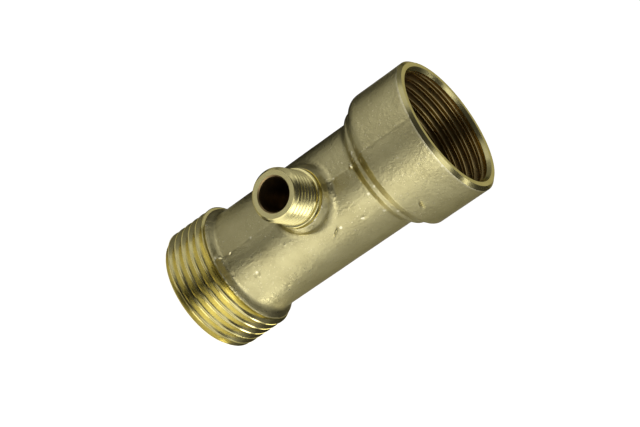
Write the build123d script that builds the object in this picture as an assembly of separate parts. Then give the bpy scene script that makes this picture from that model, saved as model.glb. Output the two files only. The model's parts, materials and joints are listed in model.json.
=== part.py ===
"""Threaded three-way pipe fitting: one brass casting, turned and threaded at three ends.

+Z is the axis of the pipe run. The origin is the centre of the end face of the outside-threaded end,
on which the fitting stands, with the mouth of the socket up. The side port points along +X.
All sizes are in millimetres. The threads are left as plain cylinders: the outside threads at their
major diameter and the inside thread at its minor diameter.
"""
import os
from math import radians, tan

from build123d import *

# ---- the tube between the two ends of the run
tube_length = 46.0                # from the top of the collar to the foot of the shoulder
body_radius = 14.25               # as cast
waterway_radius = 11.5            # drilled through from end to end

# ---- outside thread at the foot of the fitting, G1
run_thread_radius = 16.62         # major radius
run_thread_length = 13.8
run_thread_chamfer = 1.3          # radial and axial size of the lead-in
waterway_edge = 0.6               # chamfer that breaks the edge of the waterway at the foot

# ---- cast collar that backs the outside thread
collar_proud = 1.7                # how far it stands out of the tube
collar_length = 0.3               # its straight part, against the thread
collar_slope = 1.2                # length of the slope from its top down to the tube
collar_round = 1.0                # cast rounding at the foot of that slope

# ---- shoulder under the bell: two cones with a narrow band between them
shoulder_rise = 2.3               # height of the upper cone, from the band to the bell
shoulder_round = 0.8              # cast rounding where it meets the bell
band_proud = 1.75                 # how far the band stands out of the tube
band_length = 0.95
band_slope = 1.9                  # height of the lower cone, from the tube to the band
band_round = 0.3                  # cast rounding of the band's edges

# ---- socket at the top of the fitting, G1 inside thread
bell_radius = 18.2
bell_length = 15.6                # straight part of the bell, with its mouth chamfer
mouth_outer_chamfer = 0.7
socket_thread_radius = 15.146     # minor radius
socket_thread_depth = 15.5
mouth_inner_chamfer = 0.72        # lead-in of the inside thread
socket_floor_slope = 31.0         # degrees, from the cross-section plane, where the drill stopped

# ---- side port, G1/4 outside thread on a cast boss
port_offset = 4.4                 # port axis above the middle of the tube
port_boss_radius = 8.2            # as-cast boss, below its sloping rim
port_boss_proud = 1.95            # how far its outer face stands out of the tube
port_boss_draft = 2.0             # degrees
port_boss_rim = 0.9               # how far the rim runs in, towards the turned collar
port_boss_rim_length = 1.7
port_boss_fillet = 0.5            # cast fillet from the boss to the tube
port_collar_radius = 7.17         # turned collar between the boss and the thread
port_collar_length = 1.3
port_thread_radius = 6.579        # major radius
port_thread_length = 8.6
port_thread_chamfer = 0.85
port_bore_radius = 4.22
port_bore_edge = 0.3

# ---- sizes that follow from the ones above
collar_radius = body_radius + collar_proud
collar_top = run_thread_length + collar_length
shoulder_foot = collar_top + tube_length
bell_foot = shoulder_foot + shoulder_rise
overall_length = bell_foot + bell_length
band_radius = body_radius + band_proud
band_foot = shoulder_foot - band_length
socket_floor = overall_length - socket_thread_depth
socket_floor_drop = (socket_thread_radius - waterway_radius) * tan(radians(socket_floor_slope))
port_height = collar_top + tube_length / 2 + port_offset
port_boss_face = body_radius + port_boss_proud
port_thread_root = port_boss_face + port_collar_length
port_reach = port_thread_root + port_thread_length


def run_outline():
    """Half section of the solid run, before it is bored, as a closed face in the XZ plane."""
    with BuildSketch(Plane.XZ) as section:
        with BuildLine():
            Polyline(
                (0, 0),
                (run_thread_radius - run_thread_chamfer, 0),
                (run_thread_radius, run_thread_chamfer),
                (run_thread_radius, run_thread_length),
                (collar_radius, run_thread_length),
                (collar_radius, collar_top),
                (body_radius, collar_top + collar_slope),
                (body_radius, band_foot - band_slope),
                (band_radius, band_foot),
                (band_radius, shoulder_foot),
                (bell_radius, bell_foot),
                (bell_radius, overall_length - mouth_outer_chamfer),
                (bell_radius - mouth_outer_chamfer, overall_length),
                (0, overall_length),
                (0, 0),
            )
        make_face()
        for radius, height, rounding in (
            (body_radius, collar_top + collar_slope, collar_round),
            (band_radius, band_foot, band_round),
            (band_radius, shoulder_foot, band_round),
            (bell_radius, bell_foot, shoulder_round),
        ):
            fillet(section.vertices().sort_by_distance((radius, height, 0))[0], rounding)
    return section.sketch


def waterway_outline():
    """Half section of what is bored out of the run: the waterway, the drill's cone and the socket."""
    with BuildSketch(Plane.XZ) as section:
        with BuildLine():
            Polyline(
                (0, 0),
                (waterway_radius + waterway_edge, 0),
                (waterway_radius, waterway_edge),
                (waterway_radius, socket_floor - socket_floor_drop),
                (socket_thread_radius, socket_floor),
                (socket_thread_radius, overall_length - mouth_inner_chamfer),
                (socket_thread_radius + mouth_inner_chamfer, overall_length),
                (0, overall_length),
                (0, 0),
            )
        make_face()
    return section.sketch


def port_boss():
    """The as-cast boss of the side port, drafted so that it widens towards the run's axis."""
    rim_foot = port_boss_face - port_boss_rim_length
    spread = rim_foot * tan(radians(port_boss_draft))
    with BuildSketch(Plane.XZ) as section:
        with BuildLine():
            Polyline(
                (0, port_height),
                (port_boss_face, port_height),
                (port_boss_face, port_height + port_boss_radius - port_boss_rim),
                (rim_foot, port_height + port_boss_radius),
                (0, port_height + port_boss_radius + spread),
                (0, port_height),
            )
        make_face()
    return revolve(section.sketch, Axis((0, 0, port_height), (1, 0, 0)), 360)


def port_spigot():
    """The turned end of the side port: its collar and the blank of its thread."""
    tip_radius = port_thread_radius - port_thread_chamfer
    with BuildSketch(Plane.XZ) as section:
        with BuildLine():
            Polyline(
                (body_radius / 2, port_height),
                (port_reach, port_height),
                (port_reach, port_height + tip_radius),
                (port_reach - port_thread_chamfer, port_height + port_thread_radius),
                (port_thread_root, port_height + port_thread_radius),
                (port_thread_root, port_height + port_collar_radius),
                (body_radius / 2, port_height + port_collar_radius),
                (body_radius / 2, port_height),
            )
        make_face()
    return revolve(section.sketch, Axis((0, 0, port_height), (1, 0, 0)), 360)


def port_bore():
    """What is drilled out of the side port, from its end face to the run's axis."""
    with BuildSketch(Plane.XZ) as section:
        with BuildLine():
            Polyline(
                (0, port_height),
                (port_reach, port_height),
                (port_reach, port_height + port_bore_radius + port_bore_edge),
                (port_reach - port_bore_edge, port_height + port_bore_radius),
                (0, port_height + port_bore_radius),
                (0, port_height),
            )
        make_face()
    return revolve(section.sketch, Axis((0, 0, port_height), (1, 0, 0)), 360)


def cast_blank():
    """The casting before it is bored: the run and the boss, with their cast fillets."""
    run = revolve(run_outline(), Axis.Z, 360)
    run = run.rotate(Axis.Z, 180)     # the surfaces' seam lies behind, clear of the boss
    blank = run + port_boss()
    boss_foot = blank.edges().filter_by(GeomType.BSPLINE)
    return fillet(boss_foot, port_boss_fillet)


def pipe_fitting():
    """The finished fitting: the casting, with its spigot added and its waterways bored out."""
    fitting = cast_blank() + port_spigot()
    fitting -= revolve(waterway_outline(), Axis.Z, 360)
    fitting -= port_bore()
    return fitting


os.makedirs("parts", exist_ok=True)
fitting_body = pipe_fitting()
export_step(fitting_body, "parts/fitting_body.step")
print("fitting_body", round(fitting_body.volume), "mm3", fitting_body.bounding_box().size)
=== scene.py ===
# %% [markdown]
# # A cast brass pipe fitting with three threads
#
# The real object is a single piece of brass. It is cast with a rough, dull skin, and then a lathe turns
# and threads its three ends, which come out bright. The scene makes it in the same order: a casting
# first, and then the cuts. Each cut is a solid tool that is added or taken away.

import json
import math

import bmesh
import bpy
from mathutils import Matrix, Quaternion, Vector, noise
from mathutils.kdtree import KDTree


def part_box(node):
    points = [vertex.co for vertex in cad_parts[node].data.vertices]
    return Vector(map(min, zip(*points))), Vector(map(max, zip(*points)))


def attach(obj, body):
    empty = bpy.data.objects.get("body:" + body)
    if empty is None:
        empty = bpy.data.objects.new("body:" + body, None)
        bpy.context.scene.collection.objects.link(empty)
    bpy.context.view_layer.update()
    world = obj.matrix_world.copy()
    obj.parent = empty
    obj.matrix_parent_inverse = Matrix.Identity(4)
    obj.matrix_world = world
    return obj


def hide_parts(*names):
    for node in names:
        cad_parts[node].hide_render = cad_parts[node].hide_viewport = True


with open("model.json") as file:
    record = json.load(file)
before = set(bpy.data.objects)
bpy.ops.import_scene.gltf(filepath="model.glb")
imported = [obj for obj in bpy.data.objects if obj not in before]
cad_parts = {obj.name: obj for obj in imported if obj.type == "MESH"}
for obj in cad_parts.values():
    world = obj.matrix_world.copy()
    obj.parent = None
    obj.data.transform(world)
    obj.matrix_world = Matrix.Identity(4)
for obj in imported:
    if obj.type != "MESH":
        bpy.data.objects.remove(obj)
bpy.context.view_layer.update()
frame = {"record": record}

# %% [markdown]
# ## Sizes
#
# The frame holds the solid, so the sizes that matter are read from it: the length, the radius of the
# bell, and the radius and place of each thread. The rest are the maker's own sizes, in millimetres.
# Everything is modelled in millimetres and made metres at the end, because merging and cutting are safer
# far from the limits of single precision.

# %% Sizes from the frame, in millimetres
MM = 0.001
mounts = {mount["name"]: mount for mount in frame["record"]["mounts"]}
high_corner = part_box("fitting_body")[1]
overall_length = high_corner.z / MM
bell_radius = high_corner.y / MM
port_reach = high_corner.x / MM
port_height = mounts["port_thread"]["pos_m"][2] / MM
run_major = mounts["male_thread"]["dims"]["r_mm"]
socket_minor = mounts["female_thread"]["dims"]["r_mm"]
port_major = mounts["port_thread"]["dims"]["r_mm"]
print("length", round(overall_length, 2), "bell", round(bell_radius, 2))
print("port at", round(port_height, 2), "reaching", round(port_reach, 2))

# %% Sizes of the casting and of the cuts, in millimetres
body_radius = 14.25
waterway_radius = 11.5
waterway_edge = 0.6
run_thread_length = 13.8
run_thread_chamfer = 1.3
collar_proud = 1.7
collar_length = 0.3
collar_slope = 1.2
shoulder_rise = 2.3
band_proud = 1.75
band_length = 0.95
band_slope = 1.9
bell_length = 15.6
mouth_outer_chamfer = 0.9
mouth_inner_chamfer = 1.0
socket_thread_depth = 15.5
socket_floor_slope = math.radians(31.0)
boss_radius = 8.2
boss_proud = 1.95
boss_draft = math.radians(2.0)
boss_rim = 0.9
boss_rim_length = 1.7
port_collar_radius = 7.17
port_collar_length = 1.3
port_collar_edge = 0.3     # rounding of its edge
port_thread_chamfer = 0.85
port_bore_radius = 4.22
port_bore_edge = 0.3
skin_depth = 0.06          # the cast skin is this much uneven, inwards only

collar_radius = body_radius + collar_proud
collar_top = run_thread_length + collar_length
bell_foot = overall_length - bell_length
shoulder_foot = bell_foot - shoulder_rise
band_radius = body_radius + band_proud
band_foot = shoulder_foot - band_length
boss_face = body_radius + boss_proud
port_root = boss_face + port_collar_length
print("collar", collar_radius, "band", band_radius, "boss face", boss_face)

# %% [markdown]
# ## Turning a solid
#
# A lathe makes anything round from half of its section. `spin` does the same: a chain of corners is
# carried round the axis. The corners that lie on the axis are merged afterwards, so that the solid is
# closed at its poles. Solids of the side port are turned upright too, and then laid on the port's axis.

# %% The lathe
STEPS = 160                # flats round one turn: fine enough that the outline stays round
PORT_STEPS = 96            # the port is less than half as wide


def put_in_scene(bm, name):
    """An object from a bmesh, with its faces turned outwards."""
    bmesh.ops.recalc_face_normals(bm, faces=bm.faces)
    mesh = bpy.data.meshes.new(name)
    bm.to_mesh(mesh)
    bm.free()
    thing = bpy.data.objects.new(name, mesh)
    bpy.context.scene.collection.objects.link(thing)
    return thing


def turned(name, outline, steps=STEPS, start=0.0):
    """A closed solid of revolution about Z, from the (radius, height) corners of half of its section.

    Start is the azimuth of its first flat in degrees. Solids that cut each other start at different
    azimuths, so that no two edges lie exactly on each other.
    """
    bm = bmesh.new()
    corners = [bm.verts.new((radius, 0, height)) for radius, height in outline]
    lines = [bm.edges.new(pair) for pair in zip(corners, corners[1:])]
    bmesh.ops.spin(bm, geom=corners + lines, cent=(0, 0, 0), axis=(0, 0, 1), dvec=(0, 0, 0),
                   angle=2 * math.pi, steps=steps, use_merge=True)
    bmesh.ops.remove_doubles(bm, verts=bm.verts, dist=1e-4)
    bmesh.ops.rotate(bm, verts=bm.verts, matrix=Matrix.Rotation(math.radians(start), 3, "Z"))
    return put_in_scene(bm, name)


def onto_port(thing):
    """Lays a solid that was turned about Z on the axis of the side port."""
    thing.data.transform(Matrix.Translation((0, 0, port_height)) @ Matrix.Rotation(math.pi / 2, 4, "Y"))
    return thing


print("lathe with", STEPS, "flats to a turn, and", PORT_STEPS, "for the port")

# %% [markdown]
# ## Cutting a thread
#
# A pipe thread is one ridge that climbs round the axis, with flanks at 55 degrees between them and a
# rounded crest and root. One pitch of its section, spun with a rise at each step, gives the whole ridge,
# and the turns meet at their roots. Two planes then cut it to length, and each cut is capped, which
# leaves a closed screw. An outside thread is such a screw. An inside thread is a hole that it leaves.

# %% The thread
FLANK_ANGLE = math.radians(27.5)
PITCH_RUN = 2.309          # 11 threads to the inch
PITCH_PORT = 1.337         # 19 threads to the inch
CREST_CUT = 0.05           # a die leaves the crests this much blunter than their full form
DEPTH_SHARE = 0.640327     # depth of the thread over its pitch
ROUND_SHARE = 0.137329     # radius of crest and root over the pitch


def thread_section(major, pitch):
    """The (radius, height) corners of one pitch of the thread, from root to root."""
    size = ROUND_SHARE * pitch
    minor = major - DEPTH_SHARE * pitch
    sweep = math.pi / 2 - FLANK_ANGLE

    def arc(k):
        """How far the rounding has come inwards and upwards after k of its flats."""
        return size * (1 - math.cos(sweep * k / 2)), size * math.sin(sweep * k / 2)

    root = [(minor + inward, height) for inward, height in map(arc, range(3))]
    crest = [(major - inward, pitch / 2 + height) for inward, height in map(arc, range(-2, 3))]
    next_root = [(radius, pitch - height) for radius, height in reversed(root)]
    return root + crest + next_root


def screw(name, major, pitch, crest_height, bottom, top, steps=STEPS):
    """A closed right-hand screw between two heights, with a crest at crest_height over +X."""
    first = crest_height - pitch / 2
    first -= math.ceil((first - bottom) / pitch + 1) * pitch
    turns = math.ceil((top - first) / pitch) + 1
    bm = bmesh.new()
    section = thread_section(major, pitch)
    corners = [bm.verts.new((radius, 0, first + height)) for radius, height in section]
    lines = [bm.edges.new(pair) for pair in zip(corners, corners[1:])]
    bmesh.ops.spin(bm, geom=corners + lines, cent=(0, 0, 0), axis=(0, 0, 1), dvec=(0, 0, pitch / steps),
                   angle=2 * math.pi, steps=steps, use_merge=False)
    one_turn = bm.verts[:] + bm.edges[:] + bm.faces[:]
    for turn in range(1, turns):
        copied = bmesh.ops.duplicate(bm, geom=one_turn)["geom"]
        points = [part for part in copied if isinstance(part, bmesh.types.BMVert)]
        bmesh.ops.translate(bm, verts=points, vec=(0, 0, turn * pitch))
    bmesh.ops.remove_doubles(bm, verts=bm.verts, dist=0.01)
    for height, side in ((bottom, -1), (top, 1)):
        everything = bm.verts[:] + bm.edges[:] + bm.faces[:]
        cut = bmesh.ops.bisect_plane(bm, geom=everything, dist=1e-5, plane_co=(0, 0, height),
                                     plane_no=(0, 0, side), clear_outer=True)
        rim = [part for part in cut["geom_cut"] if isinstance(part, bmesh.types.BMEdge)]
        bmesh.ops.edgeloop_fill(bm, edges=rim)
    return put_in_scene(bm, name)


print("thread of", len(thread_section(run_major, PITCH_RUN)), "corners to the pitch")

# %% [markdown]
# ## The casting
#
# The raw casting is one lump: the tube with its collar, its two-coned shoulder and its bell, and the boss
# of the side port. The lumps are modelled apart, overlapping, and a voxel remesh melts them into one
# skin, much as a pattern maker glues up a pattern and fills the joints.

# %% Lumps of the casting
EXTRA = 0.8                # spare metal that the lathe takes off each end
BOSS_START = 2.0           # the boss begins well inside the tube
VOXEL = 0.50               # spacing of the points of the melted skin


def rounded(outline, cuts, segments=5):
    """The outline with corners rounded. Cuts gives how far the rounding reaches, by the corner's place."""
    result = []
    for place, corner in enumerate(outline):
        if place not in cuts:
            result.append(corner)
            continue
        here = Vector(corner)
        before = (Vector(outline[place - 1]) - here).normalized() * cuts[place]
        after = (Vector(outline[place + 1]) - here).normalized() * cuts[place]
        for k in range(segments + 1):
            t = k / segments
            result.append(tuple(here + before * (1 - t) ** 2 + after * t ** 2))
    return result


top_of_casting = overall_length + EXTRA
foot_of_casting = run_thread_length - EXTRA
side_of_run = [
    (collar_radius, foot_of_casting),
    (collar_radius, collar_top),
    (body_radius, collar_top + collar_slope),
    (body_radius, band_foot - band_slope),
    (band_radius, band_foot),
    (band_radius, shoulder_foot),
    (bell_radius, bell_foot),
    (bell_radius, top_of_casting),
]
run_lump = turned("run lump", [(0, foot_of_casting)] + side_of_run + [(0, top_of_casting)])

rim_foot = boss_face - boss_rim_length
boss_spread = rim_foot * math.tan(boss_draft)
rim_slope = boss_rim / boss_rim_length
boss_outline = [
    (0, BOSS_START),
    (boss_radius + boss_spread, BOSS_START),
    (boss_radius, rim_foot),
    (boss_radius - boss_rim - rim_slope * EXTRA, boss_face + EXTRA),
    (0, boss_face + EXTRA),
]
boss_lump = onto_port(turned("boss lump", boss_outline, steps=PORT_STEPS))
print("lumps", len(run_lump.data.polygons), len(boss_lump.data.polygons))


# %% Melting the lumps into one skin
def with_modifiers_applied(thing):
    """The object with the mesh that its modifiers make, and no modifiers left."""
    bpy.context.view_layer.update()
    shaped = thing.evaluated_get(bpy.context.evaluated_depsgraph_get())
    mesh = bpy.data.meshes.new_from_object(shaped)
    thing.modifiers.clear()
    thing.data = mesh
    return thing


def melted(name, parts, voxel):
    """The parts, made one closed skin by a voxel remesh. The parts are deleted."""
    bm = bmesh.new()
    for part in parts:
        bm.from_mesh(part.data)
        bpy.data.objects.remove(part)
    lump = put_in_scene(bm, name)
    remesh = lump.modifiers.new("melt", "REMESH")
    remesh.mode = "VOXEL"
    remesh.voxel_size = voxel
    settle = lump.modifiers.new("settle", "SMOOTH")
    settle.factor = 0.5
    settle.iterations = 3
    return with_modifiers_applied(lump)


casting = melted("casting", [run_lump, boss_lump], VOXEL)
print("casting", len(casting.data.vertices), "points")

# %% [markdown]
# ## The cast fillet
#
# A foundry never leaves a sharp inner corner, because sand breaks away there. The points close to the
# corner between boss and tube are relaxed towards their neighbours, over and over, which rounds that
# corner alone.

# %% Rounding the foot of the boss
FILLET = 0.8               # how far from the corner the rounding reaches
FILLET_PASSES = 8

bm = bmesh.new()
bm.from_mesh(casting.data)


def off_tube(point):
    """How far a point lies outside the tube."""
    return math.hypot(point.x, point.y) - body_radius


def off_boss(point):
    """How far a point lies outside the boss, to its side."""
    return math.hypot(point.y, point.z - port_height) - boss_radius


at_foot = [v for v in bm.verts
           if v.co.x > 0 and abs(off_tube(v.co)) < FILLET and abs(off_boss(v.co)) < FILLET]
for _ in range(FILLET_PASSES):
    bmesh.ops.smooth_vert(bm, verts=at_foot, factor=0.5,
                          use_axis_x=True, use_axis_y=True, use_axis_z=True)
print("points in the fillet", len(at_foot))

# %% [markdown]
# ## Two halves of a mould
#
# The sand mould is made in two halves, and they are never quite alike: in one the edges of the shoulder
# came out crisp, in the other the sand gave way and left them soft. The mesh is made finer at the
# shoulder, and every point of the melted skin is then moved onto the outline of its own half.

# %% The crisp half and the soft half
PARTING_SIDE = 0.55        # the halves meet a little off the middle
SOFT_SINK = 0.06           # the soft half lies this much deeper
FINER_BELOW = 2.6          # the mesh is made finer from this far below the band
FINER_ABOVE = 1.0          # to this far above the foot of the bell
BOSS_MARGIN = 0.3          # the skin of the boss, with its fillet and this margin, is left alone
crisp_side = rounded(side_of_run, {1: 0.15, 2: 0.5, 3: 0.4, 4: 0.15, 5: 0.15, 6: 0.35})
soft_side = rounded(side_of_run, {1: 0.35, 2: 0.8, 3: 0.8, 4: 0.45, 5: 0.40, 6: 1.3})


def ruler(outline, inwards, step=0.02):
    """Points close together along an outline, each found quickly from a place near it."""
    points = []
    for low, high in zip(outline, outline[1:]):
        low, high = Vector(low), Vector(high)
        count = max(math.ceil((high - low).length / step), 1)
        points += [low.lerp(high, k / count) for k in range(count)]
    tree = KDTree(len(points))
    for place, point in enumerate(points):
        tree.insert((point.x - inwards, 0, point.y), place)
    tree.balance()
    return tree


crisp = ruler(crisp_side, skin_depth)
soft = ruler(soft_side, skin_depth + SOFT_SINK)
shoulder_low, shoulder_high = band_foot - FINER_BELOW, bell_foot + FINER_ABOVE
at_shoulder = [e for e in bm.edges if all(shoulder_low < v.co.z < shoulder_high for v in e.verts)]
bmesh.ops.subdivide_edges(bm, edges=at_shoulder, cuts=1, use_grid_fill=True)
for v in bm.verts:
    radius = math.hypot(v.co.x, v.co.y)
    on_boss = v.co.x > 0 and off_boss(v.co) < FILLET + BOSS_MARGIN
    between_ends = run_thread_length - 0.4 <= v.co.z <= overall_length
    if on_boss or radius < body_radius - 1 or not between_ends:
        continue
    half = crisp if v.co.y > PARTING_SIDE else soft
    spot = half.find((radius, 0, v.co.z))[0]
    v.co = (v.co.x * spot.x / radius, v.co.y * spot.x / radius, spot.z)
print("edges made finer at the shoulder", len(at_shoulder))

# %% [markdown]
# ## The parting line
#
# The halves meet in a plane that runs close to both axes. A little metal creeps between them and leaves a
# thin ridge, which the fettler grinds down unevenly. The mesh is made finer there, and is then lifted
# along the line by an amount that wanders.

# %% A ridge where the halves of the mould met
PARTING_HEIGHT = 0.13
PARTING_WIDTH = 0.22
PARTING_REACH = 0.75       # the mesh is made finer this far to each side

along_line = [e for e in bm.edges
              if all(abs(v.co.y - PARTING_SIDE) < PARTING_REACH for v in e.verts)]
bmesh.ops.subdivide_edges(bm, edges=along_line, cuts=2, use_grid_fill=True)
bm.normal_update()
for v in bm.verts:
    aside = v.co.y - PARTING_SIDE
    if abs(aside) < 3 * PARTING_WIDTH:
        left = 0.55 + 0.6 * noise.noise(v.co * 0.35) + 0.4 * noise.noise(v.co * 1.3)
        lift = PARTING_HEIGHT * max(left, 0.1) * math.exp(-0.5 * (aside / PARTING_WIDTH) ** 2)
        v.co += v.normal * lift
print("edges made finer", len(along_line))

# %% [markdown]
# ## Blemishes of the casting
#
# Castings get knocked about in a bin before they are turned. Each blemish is a small push along the
# surface's normal over an oval patch, given by its place round the axis and up it, its size along and
# across, and its turn. The mesh is made finer under each. Two scrapes went deep enough to show metal.

# %% Dents, scratches and small lumps
BLEMISHES = [
    # azimuth, height, push outwards, half length, half width, turn in degrees
    (63.0, 65.9, -0.45, 1.9, 0.40, -19),
    (63.4, 66.6, 0.36, 1.7, 0.28, -19),
    (45.5, 44.2, 0.34, 1.9, 0.28, -58),
    (1.9, 57.0, 0.42, 0.65, 0.6, 0),
    (1.2, 15.1, 0.30, 0.9, 0.45, 60),
    (35.9, 21.2, -0.16, 0.9, 0.6, 0),
    (37.5, 20.4, 0.10, 0.9, 0.5, 20),
    (66.4, 24.2, -0.14, 0.8, 0.35, 30),
    (27.7, 31.7, 0.14, 0.45, 0.4, 0),
    (3.4, 17.9, 0.22, 0.9, 0.3, 100),
    (2.5, 65.9, 0.18, 1.0, 0.25, 105),
    (-1.1, 58.7, 0.20, 1.2, 0.3, 105),
    (50.0, 52.0, -0.12, 0.9, 0.5, 45),
    (205.0, 32.0, -0.18, 1.4, 0.4, 20),
    (238.0, 50.5, 0.14, 1.0, 0.3, 70),
    (150.0, 69.0, -0.16, 1.2, 0.35, 110),
    (-75.0, 28.0, -0.15, 1.0, 0.45, 10),
]
FRESH = [
    # azimuth, height, half length, half width, turn in degrees, where bright metal shows
    (45.5, 44.2, 1.6, 0.30, -58),
    (63.6, 66.4, 1.5, 0.32, -19),
]
print("blemishes", len(BLEMISHES), "of which scraped", len(FRESH))


# %% Pressing the blemishes into the skin
FINEST_EDGE = 0.3          # the mesh is made finer under a blemish down to about this


def offset(point, azimuth, height):
    """How far a point lies from a place on the surface: to the side, and up."""
    angle = (math.atan2(point.y, point.x) - azimuth + math.pi) % (2 * math.pi) - math.pi
    return angle * math.hypot(point.x, point.y), point.z - height


def in_patch(point, azimuth, height, along, across, turn):
    """How far a point lies along and across an oval patch, where 1 is its edge."""
    aside, up = offset(point, math.radians(azimuth), height)
    turn = math.radians(turn)
    return ((aside * math.cos(turn) + up * math.sin(turn)) / along,
            (up * math.cos(turn) - aside * math.sin(turn)) / across)


def press(points, azimuth, height, push, along, across, turn):
    """Pushes the surface out over an oval patch, or in where the push is negative."""
    for v in points:
        s, t = in_patch(v.co, azimuth, height, along, across, turn)
        if s * s + t * t < 9:
            v.co += v.normal * push * math.exp(-2 * (s * s + t * t))


for blemish in BLEMISHES:
    azimuth, height, reach = math.radians(blemish[0]), blemish[1], blemish[3] + 0.5
    close = {v for v in bm.verts if math.hypot(*offset(v.co, azimuth, height)) < reach}
    small = [e for e in bm.edges if e.calc_length() > FINEST_EDGE and all(v in close for v in e.verts)]
    bmesh.ops.subdivide_edges(bm, edges=small, cuts=1, use_grid_fill=True)
bm.normal_update()
for blemish in BLEMISHES:
    press([v for v in bm.verts if abs(v.co.z - blemish[1]) < blemish[3] + 1.0], *blemish)
fresh = [face for face in bm.faces for patch in FRESH
         if math.hypot(*in_patch(face.calc_center_median(), *patch)) < 1.0]
for face in fresh:
    face.material_index = 1
print("faces of fresh metal", len(fresh))

# %% [markdown]
# ## The sand's grain
#
# Moulding sand leaves a skin that is uneven at every size: broad waves from ramming, lumps of a few
# grains, and the grains. The waves and lumps are real geometry here, as they change the outline. The
# grains are left to the material.

# %% Waves and lumps in the cast skin
GRAIN = ((7.0, 0.020), (2.2, 0.014), (0.9, 0.010))      # size of the waves and their height

bm.normal_update()
for v in bm.verts:
    v.co += v.normal * sum(height * noise.noise(v.co / size) for size, height in GRAIN)
    radius = math.hypot(v.co.x, v.co.y)
    if radius > bell_radius and v.co.z > shoulder_foot:      # nothing stands proud of the bell
        v.co.x *= bell_radius / radius
        v.co.y *= bell_radius / radius
bm.to_mesh(casting.data)
bm.free()
print("waves", GRAIN)

# %% [markdown]
# ## Finishes that the tools leave
#
# The four finishes are made here as empty materials, and get their nodes further down. Every solid
# carries the finish of its maker, so a cut keeps the finish of the tool that made it.

# %% The four finishes
cast_skin = bpy.data.materials.new("cast_skin")
turned_brass = bpy.data.materials.new("turned_brass")
drilled_brass = bpy.data.materials.new("drilled_brass")
tapped_brass = bpy.data.materials.new("tapped_brass")
casting.data.materials.append(cast_skin)
casting.data.materials.append(turned_brass)


def join(target, tool, operation, finish):
    """Adds a solid to the target, cuts it away, or keeps what both share. The tool is used up."""
    if not tool.data.materials:
        tool.data.materials.append(finish)
    step = target.modifiers.new("cut", "BOOLEAN")
    step.operation = operation
    step.object = tool
    step.solver = "MANIFOLD"
    step.material_mode = "TRANSFER"
    with_modifiers_applied(target)
    bpy.data.objects.remove(tool)
    return target


# %% [markdown]
# ## The outside thread at the foot
#
# The lathe first turns a plain end with a chamfer, and a die then cuts the thread. What is left is what
# the plain end and the screw share. The die's first teeth are ground back, so its thread fades out in a
# cone against the collar.

# %% The threaded foot
FACING = math.radians(22.18)   # azimuth of the side that faces the viewer
RUN_CREST = 2.5            # height of a crest on that side
RUN_OUT = 12.0             # height at which the thread begins to fade out
run_minor = run_major - DEPTH_SHARE * PITCH_RUN


def crest_at_x(height, facing, pitch):
    """The height at which the crest crosses +X, when it is known at another azimuth."""
    return height - pitch * facing / (2 * math.pi)


foot = turned("threaded_foot", [
    (0, 0),
    (run_major - run_thread_chamfer, 0),
    (run_major, run_thread_chamfer),
    (run_major, run_thread_length),
    (run_minor - 0.1, run_thread_length),
    (run_minor - 0.1, run_thread_length + EXTRA),
    (0, run_thread_length + EXTRA),
], start=1.1)
foot.data.materials.append(turned_brass)
foot_crest = crest_at_x(RUN_CREST, FACING, PITCH_RUN)
foot_screw = screw("foot_screw", run_major + CREST_CUT, PITCH_RUN, foot_crest, -1, 16)
join(foot, foot_screw, "INTERSECT", turned_brass)
run_out = turned("run_out", [
    (0, RUN_OUT),
    (run_minor - 0.05, RUN_OUT + 0.3),
    (collar_radius, run_thread_length),
    (0, run_thread_length),
], start=0.5)
join(foot, run_out, "UNION", turned_brass)
print("threaded foot", len(foot.data.polygons), "faces")

# %% Facing the casting at both ends and joining the foot
CLEAR = 30                 # a radius well outside the part

facing_height = run_thread_length - 0.05
below = turned("below", [
    (0, -2),
    (CLEAR, -2),
    (CLEAR, facing_height),
    (0, facing_height),
], start=0.3)
join(casting, below, "DIFFERENCE", turned_brass)
mouth = turned("mouth_facing", [
    (0, overall_length),
    (bell_radius - mouth_outer_chamfer, overall_length),
    (bell_radius + 1, overall_length - mouth_outer_chamfer - 1),
    (bell_radius + 1, overall_length + 3),
    (0, overall_length + 3),
], start=0.7)
join(casting, mouth, "DIFFERENCE", turned_brass)
fitting = join(casting, foot, "UNION", turned_brass)
print("fitting", len(fitting.data.polygons), "faces", [m.name for m in fitting.data.materials])

# %% [markdown]
# ## The side port
#
# The port is turned from the boss in the same way, in a second clamping at right angles: a short collar,
# and a fine thread of 19 to the inch. It is made upright and then laid on the axis of the port.

# %% Facing the boss
port_facing = onto_port(turned("port_facing", [
    (0, boss_face),
    (boss_radius + 3, boss_face),
    (boss_radius + 3, boss_face + 3),
    (0, boss_face + 3),
], steps=PORT_STEPS, start=0.5))
join(fitting, port_facing, "DIFFERENCE", turned_brass)
print("boss faced at", boss_face)

# %% The threaded spigot
SPIGOT_START = 17          # inside the collar, along the port's axis
COLLAR_START = 8           # inside the tube
PORT_CREST = 18.0          # where a crest crosses the top of the port
port_minor = port_major - DEPTH_SHARE * PITCH_PORT

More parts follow.
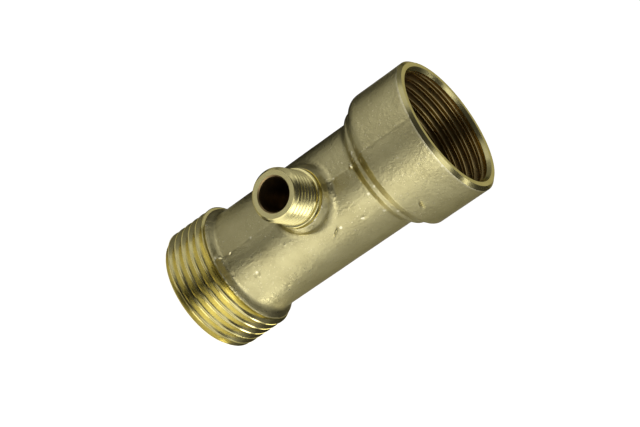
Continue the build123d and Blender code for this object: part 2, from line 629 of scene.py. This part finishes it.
spigot = turned("spigot", [
    (0, SPIGOT_START),
    (port_major, SPIGOT_START),
    (port_major, port_reach - port_thread_chamfer),
    (port_major - port_thread_chamfer, port_reach),
    (0, port_reach),
], steps=PORT_STEPS, start=1.8)
spigot.data.materials.append(turned_brass)
spigot_screw = screw("spigot_screw", port_major + CREST_CUT / 2, PITCH_PORT, PORT_CREST, 16, 28,
                     steps=PORT_STEPS)
join(spigot, spigot_screw, "INTERSECT", turned_brass)
port_collar = turned("port_collar", rounded([
    (0, COLLAR_START),
    (port_collar_radius, COLLAR_START),
    (port_collar_radius, port_root),
    (port_major - 0.1, port_root + 0.1),
    (port_minor - 0.05, port_root + 1.0),
    (0, port_root + 1.0),
], {2: port_collar_edge}, 4), steps=PORT_STEPS, start=0.9)
join(spigot, port_collar, "UNION", turned_brass)
join(fitting, onto_port(spigot), "UNION", turned_brass)
print("fitting with its port", len(fitting.data.polygons), "faces")

# %% [markdown]
# ## Boring and tapping
#
# The waterway is drilled from end to end, and the wider socket stops at the slope that the drill's point
# leaves. The tap is a screw-shaped cutter. Its first turn begins blunt under the mouth's chamfer, and it
# stops short of the floor of the socket.

# %% The waterway and the socket
socket_floor = overall_length - socket_thread_depth
floor_drop = (socket_minor - waterway_radius) * math.tan(socket_floor_slope)
waterway = turned("waterway", [
    (0, -1),
    (waterway_radius + waterway_edge + 1, -1),
    (waterway_radius, waterway_edge),
    (waterway_radius, socket_floor - floor_drop),
    (socket_minor, socket_floor),
    (socket_minor, overall_length + 1),
    (0, overall_length + 1),
], start=0.2)
join(fitting, waterway, "DIFFERENCE", drilled_brass)
lead_in = turned("lead_in", [
    (0, overall_length - mouth_inner_chamfer - 0.5),
    (socket_minor - 0.5, overall_length - mouth_inner_chamfer - 0.5),
    (socket_minor + mouth_inner_chamfer + 1, overall_length + 1),
    (0, overall_length + 1),
], start=0.9)
join(fitting, lead_in, "DIFFERENCE", turned_brass)
port_bore = onto_port(turned("port_bore", [
    (0, 0),
    (port_bore_radius, 0),
    (port_bore_radius, port_reach - port_bore_edge),
    (port_bore_radius + port_bore_edge + 1, port_reach + 1),
    (0, port_reach + 1),
], steps=PORT_STEPS, start=0.6))
join(fitting, port_bore, "DIFFERENCE", drilled_brass)
print("bored", len(fitting.data.polygons), "faces")

# %% The inside thread
SOCKET_CREST = 76.0        # height of the floor of a groove on the side that faces the viewer
TAP_STOP = 1.4             # the tap stops this far above the floor
TAP_TAPER = 2.6            # within this of the floor and of the mouth the thread is shallower
TAP_LEAD = 0.95            # its first turn begins this far below the mouth

tap = turned("tap", [
    (0, socket_floor + TAP_STOP),
    (socket_minor - 0.3, socket_floor + TAP_STOP),
    (run_major + 0.3, socket_floor + TAP_TAPER),
    (run_major + 0.3, overall_length - TAP_TAPER),
    (socket_minor + 0.2, overall_length - TAP_LEAD),
    (socket_minor + 0.2, overall_length + 1),
    (0, overall_length + 1),
], start=1.3)
tap_crest = crest_at_x(SOCKET_CREST, FACING, PITCH_RUN)
tap_screw = screw("tap_screw", run_major + CREST_CUT, PITCH_RUN, tap_crest,
                  socket_floor, overall_length + 2)
tap.data.materials.append(tapped_brass)
join(tap, tap_screw, "INTERSECT", tapped_brass)
join(fitting, tap, "DIFFERENCE", tapped_brass)
print("tapped", len(fitting.data.polygons), "faces", [m.name for m in fitting.data.materials])

# %% [markdown]
# ## Finishing the mesh
#
# Cutting leaves many-sided faces, so all of them are made triangles. Only the edges that a finger could
# feel are marked sharp, so that the skin and the threads shade smoothly.

# %% Triangles, shading and the change to metres
SHARP = math.radians(34)

bm = bmesh.new()
bm.from_mesh(fitting.data)
bmesh.ops.triangulate(bm, faces=bm.faces)
bmesh.ops.transform(bm, matrix=Matrix.Scale(MM, 4), verts=bm.verts)
open_edges = sum(not e.is_manifold for e in bm.edges)
bm.to_mesh(fitting.data)
bm.free()
fitting.data.shade_smooth()
fitting.data.set_sharp_from_angle(angle=SHARP)
fitting.name = "fitting"
print("fitting", len(fitting.data.polygons), "triangles,", open_edges, "open edges")

# %% [markdown]
# ## Effects shared by the finishes
#
# All the finishes are the same brass. They differ in what the surface has been through, so grain, tool
# marks, tarnish, and edge wear with a painted highlight on sharp edges are shader groups, which each
# finish uses with its own values. The groups work in millimetres, measured on the object itself.


# %% Short ways to add and link nodes
class Nodes:
    """A node tree, with short ways to add nodes to it and to link them."""

    def __init__(self, tree):
        self.tree = tree

    def feed(self, socket, value):
        """Puts a value or another node's output in a socket."""
        if isinstance(value, bpy.types.NodeSocket):
            self.tree.links.new(value, socket)
        else:
            socket.default_value = value

    def node(self, kind, sockets=(), **settings):
        """A node with its settings, and with something put in each of the sockets."""
        made = self.tree.nodes.new("ShaderNode" + kind)
        for setting, value in settings.items():
            setattr(made, setting, value)
        for socket, value in dict(sockets).items():
            self.feed(made.inputs[socket], value)
        return made

    def math(self, operation, a, b=0.0, clamp=False):
        """The result of a sum, kept between 0 and 1 if clamped."""
        return self.node("Math", {0: a, 1: b}, operation=operation, use_clamp=clamp).outputs[0]

    def blend(self, mask, a, b):
        """Colour a where the mask is 0, and colour b where it is 1."""
        return self.node("Mix", {0: mask, 6: a, 7: b}, data_type="RGBA").outputs[2]


# %% Making a shader group
SOCKETS = {"value": "NodeSocketFloat", "colour": "NodeSocketColor"}


class Group(Nodes):
    """A shader group under construction."""

    def __init__(self, name, inputs, outputs):
        super().__init__(bpy.data.node_groups.new(name, "ShaderNodeTree"))
        for title, kind, value in inputs:
            socket = self.tree.interface.new_socket(title, in_out="INPUT", socket_type=SOCKETS[kind])
            socket.default_value = value
        for title, kind in outputs:
            self.tree.interface.new_socket(title, in_out="OUTPUT", socket_type=SOCKETS[kind])
        self.given = self.tree.nodes.new("NodeGroupInput").outputs
        self.result = self.tree.nodes.new("NodeGroupOutput").inputs

    def millimetres(self):
        """The place on the object, in millimetres."""
        place = self.node("TexCoord").outputs["Object"]
        return self.node("VectorMath", {0: place, "Scale": 1 / MM}, operation="SCALE").outputs[0]

    def noise(self, detail, roughness=0.5, **place):
        """Noise of this detail. Place gives its Vector or its W, and its Scale."""
        sockets = {"Detail": detail, "Roughness": roughness, **place}
        dimensions = "1D" if "W" in place else "3D"
        return self.node("TexNoise", sockets, noise_dimensions=dimensions).outputs[0]

    def put_out(self, title, socket):
        self.tree.links.new(socket, self.result[title])


# %% Sand grain
grain = Group("sand_grain", [("Grain size", "value", 0.9)],
              [("Height", "value"), ("Fine height", "value"), ("Fleck", "value")])
place = grain.millimetres()
often = grain.math("DIVIDE", 1.0, grain.given["Grain size"])
lumps = grain.noise(3.0, 0.62, Vector=place, Scale=often)
pits = grain.node("TexVoronoi", {"Vector": place, "Scale": grain.math("MULTIPLY", often, 0.8)},
                  feature="SMOOTH_F1").outputs["Distance"]
grain.put_out("Height", grain.math("SUBTRACT", lumps, grain.math("MULTIPLY", pits, 0.25)))
sharp = grain.noise(2.0, 0.7, Vector=place, Scale=grain.math("MULTIPLY", often, 2.6))
grain.put_out("Fine height", sharp)
glint = grain.noise(1.0, Vector=place, Scale=grain.math("MULTIPLY", often, 2.1))
grain.put_out("Fleck", grain.math("MULTIPLY", grain.math("SUBTRACT", glint, 0.65), 9.0, clamp=True))
print("group", grain.tree.name)

# %% Tool marks, which are rings round the run, and round the port's own axis on the port
PORT_ZONE = 10.0           # the port's marks end this far above and below its axis
PORT_FOOT = 0.6            # and this far outside the tube

marks = Group("tool_marks", [("Feed", "value", 0.16)], [("Height", "value"), ("Streak", "value")])
place = marks.node("SeparateXYZ", {0: marks.millimetres()}).outputs
up_from_port = marks.math("SUBTRACT", place[2], port_height)
near_port = marks.math("LESS_THAN", marks.math("ABSOLUTE", up_from_port), PORT_ZONE)
beside_tube = marks.math("GREATER_THAN", place[0], body_radius + PORT_FOOT)
on_port = marks.math("MULTIPLY", near_port, beside_tube)


def distance(group, a, b):
    """How far a point lies from an axis, from its two sides at right angles to it."""
    squares = [group.math("POWER", group.math("ABSOLUTE", side), 2.0) for side in (a, b)]
    return group.math("SQRT", group.math("ADD", *squares))


run_turn = marks.math("ADD", distance(marks, place[0], place[1]), place[2])
port_turn = marks.math("ADD", distance(marks, place[1], up_from_port), place[0])
chosen = marks.node("Mix", {"Factor": on_port, "A": run_turn, "B": port_turn}).outputs[0]
fine = marks.math("DIVIDE", chosen, marks.given["Feed"])
marks.put_out("Height", marks.noise(2.0, W=fine, Scale=1.0))
marks.put_out("Streak", marks.noise(1.0, W=chosen, Scale=1.1))
print("group", marks.tree.name)

# %% Tarnish, and edge wear with a painted highlight
tarnish = Group("tarnish", [("Clean", "colour", (1, 1, 1, 1)), ("Tarnished", "colour", (1, 1, 1, 1)),
                            ("Patch size", "value", 6.0), ("Amount", "value", 0.5)],
                [("Color", "colour"), ("Mask", "value")])
often = tarnish.math("DIVIDE", 1.0, tarnish.given["Patch size"])
cloud = tarnish.noise(5.0, 0.62, Vector=tarnish.millimetres(), Scale=often)
steep = tarnish.math("MULTIPLY", tarnish.math("SUBTRACT", cloud, 0.5), 2.6)
spread = tarnish.math("ADD", steep, 0.5, clamp=True)
mask = tarnish.math("MULTIPLY", spread, tarnish.given["Amount"], clamp=True)
tarnish.put_out("Color", tarnish.blend(mask, tarnish.given["Clean"], tarnish.given["Tarnished"]))
tarnish.put_out("Mask", mask)

# Sharp edges are made lighter: partly rubbed wear, partly a painted highlight on the crisp edges.
wear_and_highlight = Group("edge_wear", [("Reach", "value", 1.0)], [("Mask", "value")])
edge = wear_and_highlight.node("NewGeometry").outputs["Pointiness"]
wear_and_highlight.put_out("Mask", wear_and_highlight.math("MULTIPLY", wear_and_highlight.math("SUBTRACT", edge, 0.52),
                               wear_and_highlight.math("MULTIPLY", wear_and_highlight.given["Reach"], 12.0), clamp=True))
print("groups", tarnish.tree.name, wear_and_highlight.tree.name)

# %% [markdown]
# ## The finishes
#
# Bare brass is a metal, so its colour is the colour of its reflections. The cast skin is dull and a
# little green, because sand and heat have etched it. The turned ends are clean and bright, and only their
# tool marks spread the light. The drilled bores and the tapped thread are given darker colours, which
# are painted shade for the shade that falls inside them.


# %% Helpers for the finishes
class Finish(Nodes):
    """A material under construction, with a metal shader and the shared groups."""

    def __init__(self, material):
        material.use_nodes = True
        super().__init__(material.node_tree)
        self.shader = self.tree.nodes["Principled BSDF"]
        self.put("Metallic", 1.0)
        self.put("Specular Tint", (0.62, 0.58, 0.42, 1))

    def put(self, title, value):
        """Puts a value or a node's output in a socket of the metal shader."""
        self.feed(self.shader.inputs[title], value)

    def effect(self, group, **values):
        """The outputs of a shared group, used with these values."""
        made = self.tree.nodes.new("ShaderNodeGroup")
        made.node_tree = group.tree
        for title, value in values.items():
            self.feed(made.inputs[title.replace("_", " ")], value)
        return made.outputs

    def span(self, mask, low, high):
        """The mask stretched so that 0 gives low and 1 gives high."""
        return self.node("MapRange", {"Value": mask, "To Min": low, "To Max": high}).outputs[0]

    def relief(self, height, depth_mm, after=None):
        """Bump whose full height is this many millimetres."""
        made = self.node("Bump", {"Strength": 1.0, "Distance": depth_mm * MM, "Height": height})
        if after:
            self.feed(made.inputs["Normal"], after)
        return made.outputs[0]


# %% The cast skin
skin = Finish(cast_skin)
sand = skin.effect(grain, Grain_size=0.9)
clouds = skin.effect(tarnish, Clean=(0.57, 0.515, 0.27, 1), Tarnished=(0.42, 0.37, 0.18, 1),
                     Patch_size=7.0, Amount=0.7)
# Sharp edges get a lighter colour, which is partly rubbed wear and partly a painted highlight.
rubbed_and_highlit = skin.effect(wear_and_highlight, Reach=1.6)
flecked = skin.blend(skin.span(sand["Fleck"], 0.0, 0.45), clouds["Color"], (0.78, 0.74, 0.52, 1))
skin.put("Base Color", skin.blend(rubbed_and_highlit["Mask"], flecked, (0.88, 0.82, 0.56, 1)))
skin.put("Roughness", skin.span(sand["Fleck"], 0.32, 0.22))
patchy = skin.math("MULTIPLY", sand["Height"], skin.span(clouds["Mask"], 0.45, 1.0))
coarse = skin.relief(patchy, 0.19)
skin.put("Normal", skin.relief(sand["Fine height"], 0.05, after=coarse))
print("finish", cast_skin.name)

# %% Turned, drilled and tapped brass
bright = Finish(turned_brass)
lines = bright.effect(marks, Feed=0.14)
stain = bright.effect(tarnish, Clean=(0.81, 0.73, 0.35, 1), Tarnished=(0.68, 0.59, 0.24, 1),
                      Patch_size=4.0, Amount=0.5)
bright.put("Base Color", stain["Color"])
bright.put("Roughness", bright.span(lines["Streak"], 0.14, 0.30))
bright.put("Normal", bright.relief(lines["Height"], 0.0025))
bright.put("Specular Tint", (0.85, 0.76, 0.40, 1))

# The bore's dark colours are painted shade for the shade inside it, with blotches that vary at random.
bored = Finish(drilled_brass)
rings = bored.effect(marks, Feed=0.4)
bore_shade_and_blotches = bored.effect(tarnish, Clean=(0.42, 0.31, 0.14, 1), Tarnished=(0.20, 0.14, 0.07, 1),
                    Patch_size=5.0, Amount=0.9)
bored.put("Base Color", bore_shade_and_blotches["Color"])
bored.put("Roughness", bored.span(bore_shade_and_blotches["Mask"], 0.30, 0.5))
bored.put("Normal", bored.relief(rings["Height"], 0.012))

# The socket thread's darker colours and darker specular tint are painted shade for the shade inside the
# socket, with blotches that vary at random.
shade_painted_tap = Finish(tapped_brass)
feed_lines = shade_painted_tap.effect(marks, Feed=0.25)
tap_shade_and_blotches = shade_painted_tap.effect(tarnish, Clean=(0.58, 0.45, 0.19, 1), Tarnished=(0.32, 0.22, 0.09, 1),
                  Patch_size=6.0, Amount=0.8)
shade_painted_tap.put("Base Color", tap_shade_and_blotches["Color"])
shade_painted_tap.put("Roughness", shade_painted_tap.span(tap_shade_and_blotches["Mask"], 0.22, 0.42))
shade_painted_tap.put("Normal", shade_painted_tap.relief(feed_lines["Height"], 0.006))
shade_painted_tap.put("Specular Tint", (0.55, 0.44, 0.24, 1))
print("finishes", turned_brass.name, drilled_brass.name, tapped_brass.name)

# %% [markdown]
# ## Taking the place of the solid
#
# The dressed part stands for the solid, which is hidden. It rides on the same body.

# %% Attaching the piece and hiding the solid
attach(fitting, "root")
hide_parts("fitting_body")
print("piece", fitting.name, "replaces fitting_body")

# %% [markdown]
# ## The camera
#
# A long lens from close to half a metre, looking down at 24 degrees and rolled, so that the part lies
# across the view with its mouth up and to the right.

# %% Setting up the camera
VIEW_AZIMUTH = FACING
VIEW_ELEVATION = math.radians(24.21)
VIEW_ROLL = math.radians(55.06)
VIEW_DISTANCE = 0.4619
AIM = Vector((0.00116, 0.00047, 0.03812))


def direction(azimuth, elevation):
    """The unit vector that points this way, with the azimuth from +X towards +Y."""
    flat = math.cos(elevation)
    return Vector((flat * math.cos(azimuth), flat * math.sin(azimuth), math.sin(elevation)))


camera = bpy.data.objects.new("camera", bpy.data.cameras.new("camera"))
camera.data.lens = 106.875
camera.data.sensor_width = 36.0
camera.data.clip_start = 0.01
back = direction(VIEW_AZIMUTH, VIEW_ELEVATION)
camera.location = AIM + VIEW_DISTANCE * back
camera.rotation_mode = "QUATERNION"
camera.rotation_quaternion = back.to_track_quat("Z", "Y") @ Quaternion((0, 0, 1), VIEW_ROLL)
bpy.context.scene.collection.objects.link(camera)
bpy.context.scene.camera = camera
bpy.context.scene.view_settings.view_transform = "Standard"
print("camera at", [round(c, 3) for c in camera.location])

# %% [markdown]
# ## The studio
#
# A metal shows only what surrounds it. The part stands on a pale table, which the camera sees as white
# and the metal sees much dimmer. The room round it is almost dark.

# %% The table
TABLE_RADIUS = 6.0

bm = bmesh.new()
bmesh.ops.create_circle(bm, cap_ends=True, radius=TABLE_RADIUS, segments=96)
table = put_in_scene(bm, "table")
white_table = bpy.data.materials.new("white_table")
white_table.use_nodes = True
surface = Nodes(white_table.node_tree)
seen = surface.node("LightPath").outputs
for_metal = surface.math("MULTIPLY", seen["Is Glossy Ray"], 0.15)
lift = surface.node("Math", {0: seen["Is Camera Ray"], 1: 0.90, 2: for_metal}, operation="MULTIPLY_ADD")
paper = surface.tree.nodes["Principled BSDF"].inputs
paper["Base Color"].default_value = (0.85, 0.85, 0.85, 1)
paper["Roughness"].default_value = 0.9
paper["Specular IOR Level"].default_value = 0.2
paper["Emission Color"].default_value = (1, 1, 1, 1)
surface.feed(paper["Emission Strength"], lift.outputs[0])
table.data.materials.append(white_table)
print("table", TABLE_RADIUS)

# %% The room
world = bpy.data.worlds.new("room")
world.use_nodes = True
bpy.context.scene.world = world
room = Nodes(world.node_tree)
seen = room.node("LightPath").outputs["Is Camera Ray"]
level = room.node("MapRange", {"Value": seen, "To Min": 0.04, "To Max": 1.0}).outputs[0]
background = room.tree.nodes["Background"].inputs
background["Color"].default_value = (1, 1, 1, 1)
room.feed(background["Strength"], level)
print("room", world.name)

# %% [markdown]
# ## Two rows of softboxes
#
# The softboxes stand round the part in a low row and a tall one. The strongest is just right of the
# camera, and a weaker one is to its left. Between them, behind the camera, the room stays dim, and that
# gives the dark band along the tube.

# %% The softboxes
ROWS = {"low": (0.0, 0.10), "mid": (0.10, 0.30)}     # bottom and top of each row, in metres
SOFTBOX_DISTANCE = 0.30
SOFTBOXES = [
    # name, azimuth from the camera and spread in degrees, row, brightness
    ("low_key", 24, 24, "low", 2.90),
    ("low_key_side", 60, 48, "low", 0.86),
    ("low_side", 96, 24, "low", 0.40),
    ("low_fill", -60, 48, "low", 0.92),
    ("low_fill_side", -96, 24, "low", 0.40),
    ("tall_key", 24, 24, "mid", 1.50),
    ("tall_key_side", 60, 48, "mid", 0.68),
    ("tall_side", 96, 24, "mid", 0.40),
    ("tall_fill", -48, 24, "mid", 0.55),
    ("tall_fill_side", -84, 48, "mid", 0.32),
]


def lamp(name, width, height, brightness):
    """An area lamp with this brightness, which the camera doesn't see. Lengths are in metres."""
    data = bpy.data.lights.new(name, "AREA")
    data.shape = "RECTANGLE"
    data.size, data.size_y = width, height
    data.energy = brightness * math.pi * width * height
    made = bpy.data.objects.new(name, data)
    made.rotation_mode = "QUATERNION"
    made.visible_camera = False
    bpy.context.scene.collection.objects.link(made)
    return made


for name, azimuth, spread, row, brightness in SOFTBOXES:
    bottom, top = ROWS[row]
    width = 2 * SOFTBOX_DISTANCE * math.tan(math.radians(spread / 2))
    made = lamp(name, width, top - bottom, brightness)
    flat = direction(VIEW_AZIMUTH + math.radians(azimuth), 0.0)
    made.location = flat * SOFTBOX_DISTANCE + Vector((0, 0, (bottom + top) / 2))
    made.rotation_quaternion = flat.to_track_quat("Z", "Y")
print("softboxes", len(SOFTBOXES))

# %% [markdown]
# ## Walls, ceiling and window
#
# Further off, dimmer surfaces of the room light the edges and slopes that look past the softboxes. They
# are lamps too, and all of them point at the middle of the part.

# %% The surfaces of the room
WALL_DISTANCE = 1.2
WALLS = [
    # name, azimuth from the camera and elevation in degrees, width, height, brightness
    ("back_wall", 180, 24, 1.0, 0.5, 0.42),
    ("far_side_wall", -135, 20, 0.7, 0.6, 0.10),
    ("front_ceiling", 57, 60, 0.64, 0.30, 1.1),
    ("window", 110, 36, 0.16, 0.20, 2.0),
    ("far_left_ceiling", -88, 47, 1.1, 0.40, 0.5),
    ("left_ceiling", -142, 42, 0.9, 0.5, 0.12),
    ("right_ceiling", 142, 42, 0.9, 0.5, 0.10),
]

for name, azimuth, elevation, width, height, brightness in WALLS:
    towards = direction(VIEW_AZIMUTH + math.radians(azimuth), math.radians(elevation))
    made = lamp(name, width, height, brightness)
    made.location = AIM + WALL_DISTANCE * towards
    made.rotation_quaternion = towards.to_track_quat("Z", "Y")
print("walls", [wall[0] for wall in WALLS])

# %% [markdown]
# ## Bright cards
#
# The flanks of the threads and the underside of the port look down at the table. Bright cards that lie
# on it, close to the foot, give them something to mirror.

# %% The bright cards
BRIGHT_CARDS = [
    # name, azimuth from the camera in degrees, near edge, far edge, width, brightness
    ("table_card", 40, 0.035, 0.18, 0.07, 0.95),
    ("foot_card", 76, 0.023, 0.042, 0.008, 4.5),
    ("side_card", 110, 0.021, 0.036, 0.012, 2.4),
    ("left_foot_card", -60, 0.019, 0.031, 0.040, 0.16),
    ("right_foot_card", 34, 0.019, 0.031, 0.028, 0.35),
]

for name, azimuth, near, far, width, brightness in BRIGHT_CARDS:
    facing = VIEW_AZIMUTH + math.radians(azimuth)
    made = lamp(name, far - near, width, brightness)
    made.location = direction(facing, 0.0) * (near + far) / 2 + Vector((0, 0, 0.001))
    made.rotation_quaternion = Quaternion((0, 0, 1), facing) @ Quaternion((1, 0, 0), math.pi)
print("bright cards", [card[0] for card in BRIGHT_CARDS])

# %% [markdown]
# ## Dark cards
#
# Metal needs something dark to mirror as well. One black card lies on the table in front of the part and
# draws the dark stripe down the bright turned ends, which is how a studio shows that they are round. A
# wide one lies behind it on the left, and darkens that edge of the tube against the white table.

# %% The dark cards
black_paper = bpy.data.materials.new("black_paper")
black_paper.use_nodes = True
black = black_paper.node_tree.nodes["Principled BSDF"]
black.inputs["Base Color"].default_value = (0.02, 0.02, 0.02, 1)
black.inputs["Specular IOR Level"].default_value = 0.1
DARK_CARDS = [
    # name, azimuth from the camera in degrees, near edge, far edge, width
    ("stripe_card", -13, 0.0185, 0.20, 0.015),
    ("edge_card", -138, 0.050, 0.30, 0.10),
]


def dark_card(name, azimuth, near, far, width):
    """A black card on the table, from near to far, that only the metal sees."""
    bm = bmesh.new()
    bmesh.ops.create_grid(bm, x_segments=1, y_segments=1, size=0.5)
    bmesh.ops.scale(bm, vec=(far - near, width, 1), verts=bm.verts)
    bmesh.ops.translate(bm, vec=((near + far) / 2, 0, 0.0006), verts=bm.verts)
    turn = Matrix.Rotation(VIEW_AZIMUTH + math.radians(azimuth), 3, "Z")
    bmesh.ops.rotate(bm, cent=(0, 0, 0), matrix=turn, verts=bm.verts)
    card = put_in_scene(bm, name)
    card.data.materials.append(black_paper)
    card.visible_camera = False
    card.visible_diffuse = False
    card.visible_shadow = False


for row in DARK_CARDS:
    dark_card(*row)
print("dark cards", [row[0] for row in DARK_CARDS])
